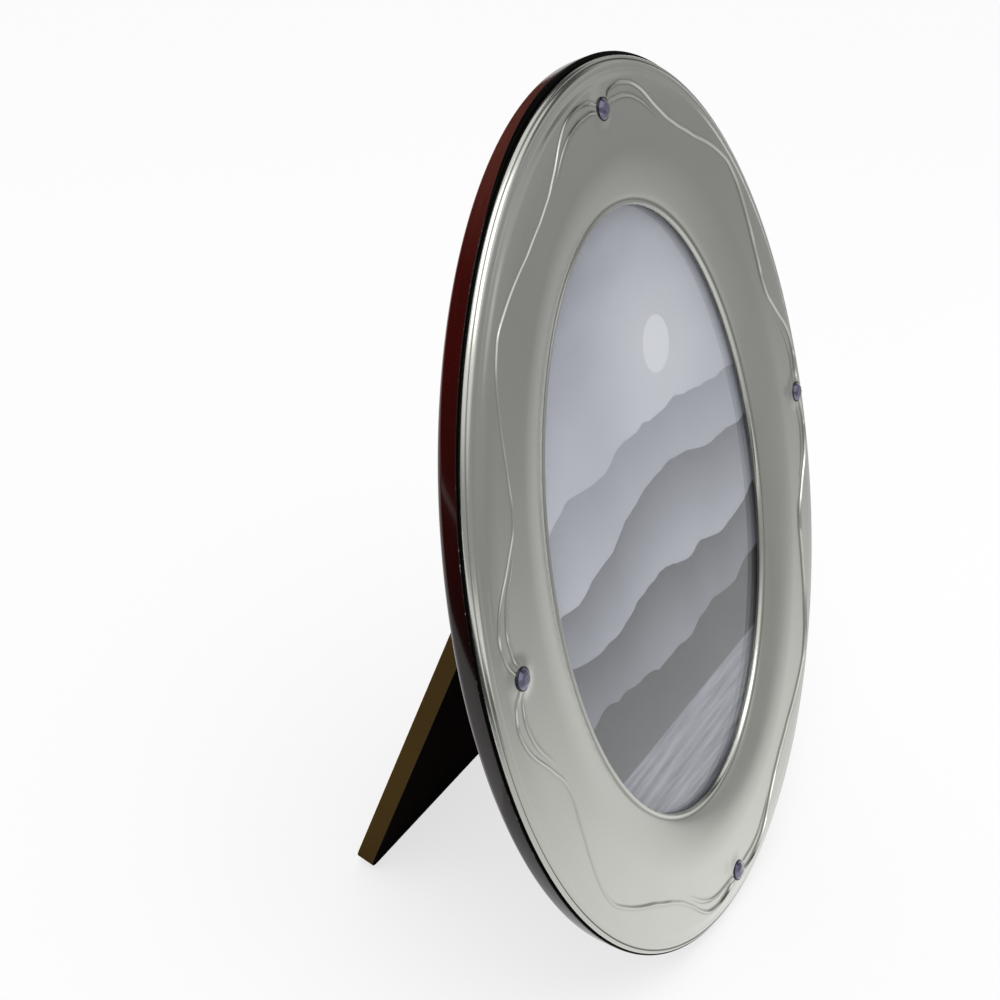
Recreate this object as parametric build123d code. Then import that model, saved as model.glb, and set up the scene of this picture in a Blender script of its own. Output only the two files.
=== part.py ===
"""Oval standing picture frame: embossed silver front on a lacquered wooden ring, with a hinged strut.

The frame is drawn face up: X to the right, Y up the face, Z out of the face towards the viewer.
Level 0 is the plane of the silver's outer edge. Insets run inwards from that edge.
At the end everything leans back onto its strut and is set down with the base at Z = 0.
"""
from build123d import *
from math import cos, radians, sin, tan
import os

os.makedirs("parts", exist_ok=True)

# Silver front: outline, sheet and cross-section as (inset, level) pairs from the edge to the opening.
SILVER_HALF_W = 100.0
SILVER_HALF_H = 125.0
BORDER = 38.5
OVAL_SEAM = 45.0
SHEET = 0.7
RIM_FOOT = -0.9
RIM = [(0.0, 0.7), (0.4, 1.1), (0.9, 1.0), (1.3, 0.6), (1.8, 1.2), (2.7, 1.6), (3.5, 1.4), (4.1, 0.8)]
FIELD = [(4.7, 1.1), (18.8, 2.9), (24.0, 1.6), (28.0, 0.7), (34.2, 0.1)]
LIP = [(34.7, 0.5), (35.8, 1.0), (37.2, 0.9), (BORDER, 0.3)]

# Embossed wave round the front, one quarter: (oval angle from the right, inset, ribbon width).
WAVE = [
    (0.0, 11.3, 3.2),
    (5.7, 6.0, 3.3),
    (11.0, 9.2, 2.8),
    (20.0, 16.9, 1.6),
    (31.0, 12.3, 2.0),
    (42.0, 7.8, 2.2),
    (52.0, 11.9, 1.8),
    (64.0, 14.7, 1.6),
    (73.0, 10.6, 2.6),
    (80.5, 6.9, 3.3),
    (90.0, 11.3, 3.2),
]
SHOULDER_RISE = 0.4
SHOULDER_SPAN = (5.1, 18.7)
RIBBON_RISE = 0.8
RIBBON_SPAN = (5.3, 18.75)
RELIEF_FOOT = -0.7
WAVE_CUT = 8.0

# Stones on the two axes of the oval, each in a bezel cup.
STONE_INSET = WAVE[0][1]
STONE_R = 2.6
STONE_SIDES = 12
STONE_TABLE_R = 1.4
STONE_GIRDLE = 0.3
STONE_CROWN = 0.9
BEZEL_WALL = 0.5
BEZEL_FLOOR = 0.4
BEZEL_BASE = 0.7
BEZEL_TOP = 2.9

# Core under the silver, wooden ring, and the stack held in the ring.
CORE_INSET = 0.3
CORE_FLOOR = -2.1
WOOD_OVERHANG = 1.3
WOOD_BACK_ROUND = 3.5
WOOD_ROUND_STEPS = 4
WOOD_FRONT_CHAMFER = 0.8
GLASS_LAP = 4.0
STACK_SIDE_GAP = 0.5
GLASS_GAP = 0.1
GLASS_T = 2.0
PRINT_T = 0.3
CARD_T = 1.6
PANEL_T = 3.2
FOOT_FLAT = 0.5

# Turn buttons that hold the panel.
BUTTON_ANGLES = [35.0, 145.0, 215.0, 325.0]
BUTTON_PIVOT_OUT = 9.0
BUTTON_REACH = 14.0
BUTTON_TAIL = 5.0
BUTTON_W = 9.0
BUTTON_T = 1.2
BUTTON_PLAY = 0.1
BUTTON_SCREW_R = 1.5
BUTTON_SCREW_DEPTH = 4.0
BUTTON_HEAD_R = 3.0
BUTTON_HEAD_H = 1.3
BUTTON_HEAD_ROUND = 0.8
PIVOT_CLEARANCE = 0.05

# Strut and its butt hinge.
LEAN = 15.0
STRUT_OPEN = 32.6
STRUT_LENGTH = 159.6
STRUT_T = 5.5
STRUT_FOOT_HALF_W = 41.5
STRUT_TAPER = 2.0
STRUT_FOOT_ROUND = 5.0
STRUT_STOP_GAP = 0.05
STRUT_RISE = 30.0
HINGE_W = 40.0
HINGE_LEAF = 18.0
HINGE_LEAF_T = 1.0
HINGE_NOTCH_GAP = 1.0
KNUCKLE_R = 1.6
KNUCKLE_SPLIT = 8.0
KNUCKLE_GAP = 0.3
KNUCKLE_CLEAR = 0.6
PIN_R = 0.8
HINGE_SCREW_X = 13.0
HINGE_SCREW_ALONG = 11.0
HINGE_SCREW_R = 1.1
HINGE_SCREW_LENGTH = 2.8
HINGE_SCREW_HEAD_R = 2.1

# Levels and insets that follow from the sizes above.
GLASS_FRONT = CORE_FLOOR - GLASS_GAP
PRINT_FRONT = GLASS_FRONT - GLASS_T
CARD_FRONT = PRINT_FRONT - PRINT_T
PANEL_FRONT = CARD_FRONT - CARD_T
BACK = PANEL_FRONT - PANEL_T
REBATE_INSET = BORDER - GLASS_LAP
STACK_INSET = REBATE_INSET + STACK_SIDE_GAP
CORE_BORE_INSET = BORDER - SHEET
BEZEL_R = STONE_R + BEZEL_WALL
PIN_LEVEL = BACK - KNUCKLE_R - KNUCKLE_GAP
STRUT_FACE = HINGE_LEAF_T / 2


def oval(inset):
    """Flat oval disc, inset from the silver's outer edge, with its seams clear of the stones."""
    half_w = SILVER_HALF_W - inset
    half_h = SILVER_HALF_H - inset
    upper = EllipticalCenterArc((0, 0), half_w, half_h, OVAL_SEAM, arc_size=180)
    lower = EllipticalCenterArc((0, 0), half_w, half_h, OVAL_SEAM + 180, arc_size=180)
    return make_face(upper + lower)


def slab(inset, front, back):
    """Oval plate between two levels."""
    return extrude(Pos(0, 0, back) * oval(inset), amount=front - back)


def mound(profile):
    """Solid under a ringed cross-section, closed flat at its first and last oval."""
    return loft([Pos(0, 0, level) * oval(inset) for inset, level in profile], ruled=True)


def on_oval(angle, inset):
    """Point of an inset oval at an oval angle."""
    x = (SILVER_HALF_W - inset) * cos(radians(angle))
    y = (SILVER_HALF_H - inset) * sin(radians(angle))
    return (x, y)


def raised(rise, span):
    """Solid under the outer cone of the field, lifted by a rise over a span of insets."""
    (foot_inset, foot_level), (crest_inset, crest_level) = FIELD[:2]
    slope = (crest_level - foot_level) / (crest_inset - foot_inset)
    cone = [(inset, foot_level + slope * (inset - foot_inset) + rise) for inset in span]
    return mound([(span[0], RELIEF_FOOT)] + cone)


def wave_prism(quarter):
    """Upright prism inside the closed wave that mirrors one quarter over both axes."""
    half = quarter + [(180 - angle, inset) for angle, inset in reversed(quarter[:-1])]
    whole = half[1:] + [(360 - angle, inset) for angle, inset in reversed(half[:-1])]
    line = Spline(*[on_oval(angle, inset) for angle, inset in whole], periodic=True)
    return extrude(Pos(0, 0, -WAVE_CUT / 2) * make_face(line), amount=WAVE_CUT)


# Silver front: ringed dish, a raised shoulder outside the wave, and a ribbon along the wave.
front_profile = [(0.0, RIM_FOOT)] + RIM + FIELD + LIP
under_profile = [(SHEET, RIM_FOOT), (SHEET, 0.0), (RIM[-1][0], RIM[-1][1] - SHEET)]
under_profile += [(inset, level - SHEET) for inset, level in FIELD]
under_profile += [(BORDER + SHEET, FIELD[-1][1] - SHEET)]
under = mound(under_profile)

wave_outer = wave_prism([(angle, inset) for angle, inset, width in WAVE])
wave_inner = wave_prism([(angle, inset + width) for angle, inset, width in WAVE])
shoulder = raised(SHOULDER_RISE, SHOULDER_SPAN) - wave_outer
ribbon = (raised(RIBBON_RISE, RIBBON_SPAN) & wave_outer) - wave_inner
silver_front = mound(front_profile) + shoulder + ribbon - under
silver_front -= slab(BORDER, LIP[1][1], RIM_FOOT)
silver_front += slab(CORE_BORE_INSET, FIELD[-1][1], CORE_FLOOR) - slab(BORDER, FIELD[-1][1], CORE_FLOOR)

# Core that backs the silver, its edge showing as a dark line under the rim.
core_profile = [(CORE_INSET, CORE_FLOOR), (CORE_INSET, RIM_FOOT)] + under_profile
resin_core = mound(core_profile)
resin_core -= slab(CORE_BORE_INSET, FIELD[1][1], CORE_FLOOR)

# Bezel cups and faceted stones.
bezel_blank = Pos(0, 0, BEZEL_BASE) * Cylinder(
    BEZEL_R, BEZEL_TOP - BEZEL_BASE, align=(Align.CENTER, Align.CENTER, Align.MIN)
)
seat_level = BEZEL_BASE + BEZEL_FLOOR
bezel = bezel_blank - Pos(0, 0, seat_level) * Cylinder(
    STONE_R, BEZEL_TOP - seat_level, align=(Align.CENTER, Align.CENTER, Align.MIN)
)
girdle_top = BEZEL_TOP + STONE_GIRDLE
stone_outline = RegularPolygon(STONE_R, STONE_SIDES)
stone_table = RegularPolygon(STONE_TABLE_R, STONE_SIDES)
stone = extrude(Pos(0, 0, seat_level) * stone_outline, amount=girdle_top - seat_level)
stone += loft([Pos(0, 0, girdle_top) * stone_outline, Pos(0, 0, girdle_top + STONE_CROWN) * stone_table])
stone_places = {
    "top": on_oval(90, STONE_INSET),
    "right": on_oval(0, STONE_INSET),
    "bottom": on_oval(270, STONE_INSET),
    "left": on_oval(180, STONE_INSET),
}
stone_hole = Pos(0, 0, BEZEL_BASE) * Cylinder(
    BEZEL_R, girdle_top - BEZEL_BASE, align=(Align.CENTER, Align.CENTER, Align.MIN)
)
for x, y in stone_places.values():
    silver_front -= Pos(x, y, 0) * stone_hole
    resin_core -= Pos(x, y, 0) * stone_hole

# Wooden ring with a rounded back edge, and the pack of glass, print, card and panel inside it.
round_angles = [radians(90 * step / WOOD_ROUND_STEPS) for step in range(WOOD_ROUND_STEPS + 1)]
wood_profile = [
    (WOOD_BACK_ROUND * (1 - sin(turn)) - WOOD_OVERHANG, BACK + WOOD_BACK_ROUND * (1 - cos(turn)))
    for turn in round_angles
]
wood_profile += [(-WOOD_OVERHANG, CORE_FLOOR - WOOD_FRONT_CHAMFER)]
wood_profile += [(WOOD_FRONT_CHAMFER - WOOD_OVERHANG, CORE_FLOOR)]
wood_ring = mound(wood_profile) - slab(REBATE_INSET, CORE_FLOOR, BACK)
glass_pane = slab(STACK_INSET, GLASS_FRONT, PRINT_FRONT)
picture_print = slab(STACK_INSET, PRINT_FRONT, CARD_FRONT)
backing_card = slab(STACK_INSET, CARD_FRONT, PANEL_FRONT)
back_panel = slab(STACK_INSET, PANEL_FRONT, BACK)

# Small flat at the foot of the ring, level with the table once the frame leans back.
round_height = (SILVER_HALF_H + WOOD_OVERHANG - WOOD_BACK_ROUND) * cos(radians(LEAN))
round_depth = (BACK + WOOD_BACK_ROUND) * sin(radians(LEAN))
floor_height = round_depth - round_height - WOOD_BACK_ROUND + FOOT_FLAT
foot_line = floor_height / cos(radians(LEAN))
table = Pos(0, foot_line, 0) * Rot(LEAN, 0, 0) * Box(
    SILVER_HALF_W, SILVER_HALF_W, SILVER_HALF_W, align=(Align.CENTER, Align.MAX, Align.CENTER)
)
wood_ring -= table

# Turn buttons, each on a round-headed screw in the ring.
button_span = BUTTON_REACH + BUTTON_TAIL
button_blank = Pos((BUTTON_TAIL - BUTTON_REACH) / 2, 0, 0) * SlotOverall(button_span, BUTTON_W)
button_plate = extrude(button_blank, amount=-BUTTON_T)
button_plate -= Cylinder(BUTTON_SCREW_R + PIVOT_CLEARANCE, BUTTON_T * 3)
button_plate = Pos(0, 0, BACK - BUTTON_PLAY) * button_plate
head_level = BACK - BUTTON_T - 2 * BUTTON_PLAY
button_head = Cylinder(BUTTON_HEAD_R, BUTTON_HEAD_H, align=(Align.CENTER, Align.CENTER, Align.MAX))
button_head = fillet(button_head.edges().sort_by(Axis.Z)[0], BUTTON_HEAD_ROUND)
button_shank_length = BACK + BUTTON_SCREW_DEPTH - head_level
button_shank = Cylinder(BUTTON_SCREW_R, button_shank_length, align=(Align.CENTER, Align.CENTER, Align.MIN))
button_screw = Pos(0, 0, head_level) * (button_head + button_shank)
turn_buttons = []
button_screws = []
for angle in BUTTON_ANGLES:
    inset = REBATE_INSET - BUTTON_PIVOT_OUT
    x, y = on_oval(angle, inset)
    across = cos(radians(angle)) / (SILVER_HALF_W - inset)
    upward = sin(radians(angle)) / (SILVER_HALF_H - inset)
    place = Pos(x, y, 0) * Rot(0, 0, Vector(1, 0, 0).get_signed_angle(Vector(across, upward, 0)))
    turn_buttons.append(place * button_plate)
    button_screws.append(place * button_screw)
    wood_ring -= place * button_screw

# Strut: a tapered board, drawn in its own plane from the hinge pin down, with the board's back along +Z.
foot_back = PIN_LEVEL - STRUT_LENGTH * sin(radians(STRUT_OPEN)) - STRUT_FACE * cos(radians(STRUT_OPEN))
foot_up = (floor_height - foot_back * sin(radians(LEAN))) / cos(radians(LEAN))
pin_up = foot_up + STRUT_LENGTH * cos(radians(STRUT_OPEN)) - STRUT_FACE * sin(radians(STRUT_OPEN))
strut_back = (0, sin(radians(STRUT_OPEN)), -cos(radians(STRUT_OPEN)))
strut_place = Plane(origin=(0, pin_up, PIN_LEVEL), x_dir=(1, 0, 0), z_dir=strut_back).location
strut_top_half_w = STRUT_FOOT_HALF_W - (STRUT_LENGTH + STRUT_RISE) * tan(radians(STRUT_TAPER))
strut_outline = make_face(
    Polyline(
        (-STRUT_FOOT_HALF_W, STRUT_LENGTH),
        (STRUT_FOOT_HALF_W, STRUT_LENGTH),
        (strut_top_half_w, -STRUT_RISE),
        (-strut_top_half_w, -STRUT_RISE),
        close=True,
    )
)
strut_corners = strut_outline.vertices().sort_by(Axis.Y)[-2:]
strut_outline = fillet(strut_corners, STRUT_FOOT_ROUND)
strut = Pos(0, 0, STRUT_FACE) * extrude(strut_outline, amount=STRUT_T)
notch_half_w = HINGE_W / 2 + HINGE_NOTCH_GAP
notch_depth = KNUCKLE_R + HINGE_NOTCH_GAP
strut -= Pos(0, notch_depth, 0) * Box(
    2 * notch_half_w, 2 * STRUT_RISE, 4 * STRUT_T, align=(Align.CENTER, Align.MAX, Align.CENTER)
)

# Butt hinge: one leaf on the board's face, one on the panel, on a fixed pin.
leaf_clear = KNUCKLE_R + KNUCKLE_CLEAR
middle_half_w = KNUCKLE_SPLIT - KNUCKLE_GAP
strut_leaf = Pos(0, leaf_clear, 0) * Box(
    HINGE_W, HINGE_LEAF - leaf_clear, HINGE_LEAF_T, align=(Align.CENTER, Align.MIN, Align.CENTER)
)
strut_leaf += Box(
    2 * middle_half_w, 2 * leaf_clear, HINGE_LEAF_T, align=(Align.CENTER, Align.MIN, Align.CENTER)
)
strut_leaf += Rot(0, 90, 0) * Cylinder(KNUCKLE_R, 2 * middle_half_w)
strut_leaf -= Rot(0, 90, 0) * Cylinder(PIN_R + PIVOT_CLEARANCE, HINGE_W)
panel_leaf_level = BACK - PIN_LEVEL
panel_leaf = Pos(0, leaf_clear, panel_leaf_level) * Box(
    HINGE_W, HINGE_LEAF - leaf_clear, HINGE_LEAF_T, align=(Align.CENTER, Align.MIN, Align.MAX)
)
knuckle_w = HINGE_W / 2 - KNUCKLE_SPLIT
for side in (-1, 1):
    middle = side * (KNUCKLE_SPLIT + knuckle_w / 2)
    panel_leaf += Pos(middle, 0, panel_leaf_level) * Box(
        knuckle_w, 2 * leaf_clear, HINGE_LEAF_T, align=(Align.CENTER, Align.MIN, Align.MAX)
    )
    panel_leaf += Pos(middle, 0, 0) * Rot(0, 90, 0) * Cylinder(KNUCKLE_R, knuckle_w)
panel_leaf -= Rot(0, 90, 0) * Cylinder(PIN_R, HINGE_W)
hinge_pin = Rot(0, 90, 0) * Cylinder(PIN_R, HINGE_W)

# Countersunk screws of the hinge, drawn with the head's face at Z = 0 and the shank along +Z.
hinge_screw = Cone(
    HINGE_SCREW_HEAD_R, HINGE_SCREW_R, HINGE_LEAF_T, align=(Align.CENTER, Align.CENTER, Align.MIN)
)
hinge_screw += Pos(0, 0, HINGE_LEAF_T) * Cylinder(
    HINGE_SCREW_R, HINGE_SCREW_LENGTH, align=(Align.CENTER, Align.CENTER, Align.MIN)
)
strut_screws = [Pos(side * HINGE_SCREW_X, HINGE_SCREW_ALONG, -STRUT_FACE) * hinge_screw for side in (-1, 1)]
panel_face = panel_leaf_level - HINGE_LEAF_T
panel_screws = [Pos(side * HINGE_SCREW_X, HINGE_SCREW_ALONG, panel_face) * hinge_screw for side in (-1, 1)]
for screw in strut_screws:
    strut_leaf -= screw
    strut -= screw
hinge_place = Pos(0, pin_up, PIN_LEVEL)
for screw in panel_screws:
    panel_leaf -= screw
    back_panel -= hinge_place * screw

# The open board stops with its bevelled top end flat against the panel.
strut = strut_place * strut
stop_level = BACK - STRUT_STOP_GAP
strut -= Pos(0, pin_up, stop_level) * Box(
    2 * SILVER_HALF_W, 2 * SILVER_HALF_H, 2 * STRUT_RISE, align=(Align.CENTER, Align.CENTER, Align.MIN)
)

nodes = {
    "silver_front": silver_front,
    "resin_core": resin_core,
    "wood_ring": wood_ring,
    "glass_pane": glass_pane,
    "picture_print": picture_print,
    "backing_card": backing_card,
    "back_panel": back_panel,
    "turn_button_screws": Compound(children=button_screws),
    "strut": strut,
    "hinge_leaf_strut": strut_place * strut_leaf,
    "hinge_leaf_panel": hinge_place * panel_leaf,
    "hinge_pin": hinge_place * hinge_pin,
    "hinge_screws_strut": strut_place * Compound(children=strut_screws),
    "hinge_screws_panel": hinge_place * Compound(children=panel_screws),
}
for number, button in enumerate(turn_buttons, start=1):
    nodes[f"turn_button_{number}"] = button
for name, (x, y) in stone_places.items():
    nodes[f"bezel_{name}"] = Pos(x, y, 0) * bezel
    nodes[f"stone_{name}"] = Pos(x, y, 0) * stone

# Stand the frame up, lean it back, and set the middle of its base box at the origin.
stood = {name: Rot(90 - LEAN, 0, 0) * solid for name, solid in nodes.items()}
box = Compound(children=[Compound(children=solid.solids()) for solid in stood.values()]).bounding_box()
for name, solid in stood.items():
    export_step(Pos(0, -box.center().Y, -floor_height) * solid, f"parts/{name}.step")
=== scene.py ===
# %% [markdown]
# # Dressing an oval picture frame
# The imported part is the fixed skeleton of this lesson: a silver front on a lacquered wooden ring, a glass
# and a print inside it, and a hinged strut behind. Everything below adds finish and fine form around it.

# %% Load the imported part
import math

import bmesh
import bpy
import numpy as np
from mathutils import Matrix, Vector


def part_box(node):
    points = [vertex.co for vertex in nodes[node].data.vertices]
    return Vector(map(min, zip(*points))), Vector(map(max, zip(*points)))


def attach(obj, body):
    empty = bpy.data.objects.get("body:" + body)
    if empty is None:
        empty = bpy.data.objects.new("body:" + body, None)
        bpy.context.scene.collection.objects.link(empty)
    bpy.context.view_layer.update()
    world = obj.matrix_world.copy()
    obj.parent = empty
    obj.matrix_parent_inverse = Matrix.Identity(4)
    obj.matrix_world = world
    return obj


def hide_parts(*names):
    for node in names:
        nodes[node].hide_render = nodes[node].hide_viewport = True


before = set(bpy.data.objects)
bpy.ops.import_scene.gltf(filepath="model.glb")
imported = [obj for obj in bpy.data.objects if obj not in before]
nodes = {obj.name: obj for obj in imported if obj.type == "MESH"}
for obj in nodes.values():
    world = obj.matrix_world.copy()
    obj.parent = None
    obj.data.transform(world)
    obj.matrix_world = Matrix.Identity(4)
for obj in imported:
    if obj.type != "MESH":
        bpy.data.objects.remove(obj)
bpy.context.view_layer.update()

# %% [markdown]
# ## A frame of reference on the leaning face
# The picture leans back on its strut, so drawing it in upright coordinates would be a nuisance. One matrix
# carries points from the face (x to the right, y up the oval, z out towards the viewer) to the room. The
# glass is a plain slab, so the middle of its box is exactly the middle of the oval.

# %% Face frame
MM = 0.001
LEAN = math.radians(15)
GLASS_MIDDLE = -3.2 * MM
HALF_W = 100 * MM
HALF_H = 125 * MM
OVAL_STRETCH = HALF_H - HALF_W

glass_low, glass_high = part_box("glass_pane")
face_turn = Matrix.Rotation(math.pi / 2 - LEAN, 4, "X")
face_out = face_turn.to_3x3() @ Vector((0, 0, 1))
face_middle = (glass_low + glass_high) / 2 - face_out * GLASS_MIDDLE
FACE = Matrix.Translation(face_middle) @ face_turn
print("face middle", [round(v, 5) for v in face_middle])

# %% [markdown]
# ## The camera
# The picture was taken from the upper left, close by, with a long lens and a slight roll. The eye point and
# the two directions are written in face coordinates, because they were found by lining up the oval and its
# stones.

# %% Camera
LENS = 76.43
EYE = Vector((-463.25, 233.25, 255.4)) * MM
LOOK = Vector((0.77015, -0.38215, -0.51072))
RIGHT = Vector((0.47474, -0.19136, 0.85907))

camera_back = -LOOK.normalized()
camera_up = camera_back.cross(RIGHT).normalized()
camera_right = camera_up.cross(camera_back)
camera_axes = Matrix((camera_right, camera_up, camera_back)).transposed().to_4x4()
camera_data = bpy.data.cameras.new("camera")
camera_data.lens = LENS
camera_data.clip_start = 0.01
camera = bpy.data.objects.new("camera", camera_data)
camera.matrix_world = FACE @ Matrix.Translation(EYE) @ camera_axes
bpy.context.scene.collection.objects.link(camera)
bpy.context.scene.camera = camera
print("camera at", [round(v, 4) for v in camera.matrix_world.translation])

# %% [markdown]
# ## Small helpers for shader nodes
# A material is a handful of nodes and links. These helpers make one node in one line: plain values go to
# the socket's default and another node's output is linked, so that a finish reads like a recipe further
# down.

# %% Node helpers
def add_node(tree, kind, inputs=None, **settings):
    """One node with its settings, and its sockets filled by values or linked from other sockets."""
    made = tree.nodes.new(kind)
    for name, value in settings.items():
        setattr(made, name, value)
    for key, value in (inputs or {}).items():
        if isinstance(value, bpy.types.NodeSocket):
            tree.links.new(value, made.inputs[key])
        else:
            made.inputs[key].default_value = value
    return made


def compute(tree, operation, first, second=0.0, third=0.0):
    """Output of a Math node."""
    return add_node(tree, "ShaderNodeMath", {0: first, 1: second, 2: third}, operation=operation).outputs[0]


def combine(tree, operation, first, second=(0, 0, 0)):
    """Output of a Vector Math node: a number for a distance or a length, otherwise a vector."""
    made = add_node(tree, "ShaderNodeVectorMath", {0: first, 1: second}, operation=operation)
    return made.outputs["Value" if operation in ("DISTANCE", "LENGTH") else "Vector"]


def blend_colours(tree, factor, first, second):
    """Output of a colour mix: the first colour at 0, the second at 1."""
    inputs = {0: factor, 6: first, 7: second}
    return add_node(tree, "ShaderNodeMix", inputs, data_type="RGBA").outputs[2]


def remap(tree, value, low, high, to_low, to_high, smooth=False):
    """Output of a clamped Map Range node."""
    kind = "SMOOTHSTEP" if smooth else "LINEAR"
    inputs = {0: value, 1: low, 2: high, 3: to_low, 4: to_high}
    return add_node(tree, "ShaderNodeMapRange", inputs, interpolation_type=kind).outputs[0]


def noise(tree, where, scale, detail=3.0, roughness=0.5):
    """Grey output of a noise on the given coordinates."""
    inputs = {"Vector": where, "Scale": scale, "Detail": detail, "Roughness": roughness}
    return add_node(tree, "ShaderNodeTexNoise", inputs).outputs[0]


print("node helpers ready")

# %% [markdown]
# ## Small helpers for finishes
# Patterns either follow the room, by Object coordinates, or the leaning face, by the same coordinates
# turned with a Mapping node. Each finish starts from one Principled shader, whose constant sockets are set
# by name.

# %% Finish helpers
def object_coordinates(tree):
    """Coordinates of the piece itself, in metres."""
    return add_node(tree, "ShaderNodeTexCoord").outputs["Object"]


def face_coordinates(tree, stretch=(1, 1, 1)):
    """Object coordinates turned into the leaning face, in metres, then stretched."""
    back = FACE.inverted()
    inputs = {"Vector": object_coordinates(tree), "Location": back.translation, "Rotation": back.to_euler()}
    turned = add_node(tree, "ShaderNodeMapping", inputs).outputs[0]
    return combine(tree, "MULTIPLY", turned, stretch)


def grey(level):
    """A neutral colour."""
    return (level, level, level, 1)


def new_finish(name, **constants):
    """A material with one Principled shader whose constant sockets are set by name."""
    material = bpy.data.materials.new(name)
    material.use_nodes = True
    shader = material.node_tree.nodes["Principled BSDF"]
    for key, value in constants.items():
        shader.inputs[key.replace("_", " ")].default_value = value
    return material, material.node_tree, shader


def add_bump(tree, shader, height, strength, distance):
    """Bump the shader's normal by a height in metres."""
    inputs = {"Strength": strength, "Distance": distance, "Height": height}
    tree.links.new(add_node(tree, "ShaderNodeBump", inputs).outputs[0], shader.inputs["Normal"])


print("finish helpers ready")

# %% [markdown]
# ## The table
# A photographer of silver lights the surroundings, not the silver. The frame stands on a white table. Most
# of the table's white is its own glow, seen by the camera, by metal and by glass, so that it stays white in
# the picture and still takes a soft shadow.

# %% Table
FLOOR_SIZE = 30.0
FLOOR_COLOUR = (0.95, 0.95, 0.95, 1)
FLOOR_GLOW = 0.7


def ray_kind(tree, *kinds):
    """One where the ray is of any of the named kinds."""
    path = add_node(tree, "ShaderNodeLightPath")
    total = path.outputs[kinds[0]]
    for kind in kinds[1:]:
        total = compute(tree, "MAXIMUM", total, path.outputs[kind])
    return total


def make_table():
    material, tree, shader = new_finish(
        "white_table", Base_Color=FLOOR_COLOUR, Roughness=0.9, Specular_IOR_Level=0.1
    )
    glow = add_node(tree, "ShaderNodeEmission", {"Color": grey(1.0), "Strength": 1.0})
    seen = ray_kind(tree, "Is Camera Ray", "Is Glossy Ray", "Is Transmission Ray")
    share = compute(tree, "MULTIPLY", seen, FLOOR_GLOW)
    mixed = add_node(tree, "ShaderNodeMixShader", {0: share, 1: shader.outputs[0], 2: glow.outputs[0]})
    tree.links.new(mixed.outputs[0], tree.nodes["Material Output"].inputs["Surface"])
    return material


def add_sheet(name, middle, normal, width, height, material):
    """A flat rectangle of the stage."""
    bm = bmesh.new()
    bmesh.ops.create_grid(bm, x_segments=1, y_segments=1, size=0.5)
    bmesh.ops.scale(bm, vec=(width, height, 1), verts=bm.verts)
    turn = Vector(normal).to_track_quat("Z", "Y").to_matrix().to_4x4()
    bm.transform(Matrix.Translation(middle) @ turn)
    mesh = bpy.data.meshes.new(name)
    bm.to_mesh(mesh)
    bm.free()
    mesh.materials.append(material)
    sheet = bpy.data.objects.new(name, mesh)
    bpy.context.scene.collection.objects.link(sheet)
    return sheet


add_sheet("floor", (0, 0, 0), (0, 0, 1), FLOOR_SIZE, FLOOR_SIZE, make_table())
print("table of", FLOOR_SIZE, "m")

# %% [markdown]
# ## The tent and the lamp
# An even tent of light stands round the table, plain white to the camera, with one soft lamp above. Metal
# also needs something darker to mirror, or it looks like plaster. So for glossy rays alone the tent is dim
# near the horizon and bright on the left and overhead, and on the right a dark gap opens above a paler
# band. The gap draws the dark sides of the embossed lines. Each pair of numbers says where a tone starts
# and ends: by the height of the direction looked in, 0 at the horizon and 1 overhead, or by how far it
# points to the right.

# %% Tent and lamp
TENT_STRENGTH = 0.84
TENT_HORIZON = 0.42
TENT_BAND = 0.52
TENT_GAP = 0.13
LEFT_CLIMB = (0.25, 0.6)
BAND_CLIMB = (0.15, 0.3)
GAP_CLIMB = (0.35, 0.6)
LEFT_EDGE = (0.32, 0.54)
OVERHEAD = (0.74, 0.86)
KEY_POWER = 7.0
KEY_SIZE = 1.0
KEY_PLACE = Vector((-0.45, -0.35, 1.5))

world = bpy.data.worlds.new("tent")
world.use_nodes = True
tent = world.node_tree
towards = add_node(tent, "ShaderNodeTexCoord").outputs["Generated"]
rightward, _, upward = add_node(tent, "ShaderNodeSeparateXYZ", {0: towards}).outputs
left_side = remap(tent, upward, *LEFT_CLIMB, TENT_HORIZON, 1.0, smooth=True)
low_band = remap(tent, upward, *BAND_CLIMB, TENT_HORIZON, TENT_BAND, smooth=True)
dark_gap = remap(tent, upward, *GAP_CLIMB, 1.0, TENT_GAP, smooth=True)
right_side = compute(tent, "MULTIPLY", low_band, dark_gap)
leftness = remap(tent, rightward, *LEFT_EDGE, 1.0, 0.0, smooth=True)
overhead = remap(tent, upward, *OVERHEAD, 0.0, 1.0, smooth=True)
mirrored = blend_colours(tent, compute(tent, "MAXIMUM", leftness, overhead), right_side, left_side)
tent_colour = blend_colours(tent, ray_kind(tent, "Is Glossy Ray"), grey(1.0), mirrored)
tent.links.new(tent_colour, tent.nodes["Background"].inputs["Color"])
strength = compute(tent, "MULTIPLY_ADD", ray_kind(tent, "Is Camera Ray"), 1 - TENT_STRENGTH, TENT_STRENGTH)
tent.links.new(strength, tent.nodes["Background"].inputs["Strength"])
bpy.context.scene.world = world

key_data = bpy.data.lights.new("key", "AREA")
key_data.energy = KEY_POWER
key_data.size = KEY_SIZE
key = bpy.data.objects.new("key", key_data)
key.location = KEY_PLACE
key.rotation_mode = "QUATERNION"
key.rotation_quaternion = (face_middle - KEY_PLACE).to_track_quat("-Z", "Y")
bpy.context.scene.collection.objects.link(key)
bpy.context.scene.view_settings.view_transform = "Standard"
print("tent and key lamp are set")

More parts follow.
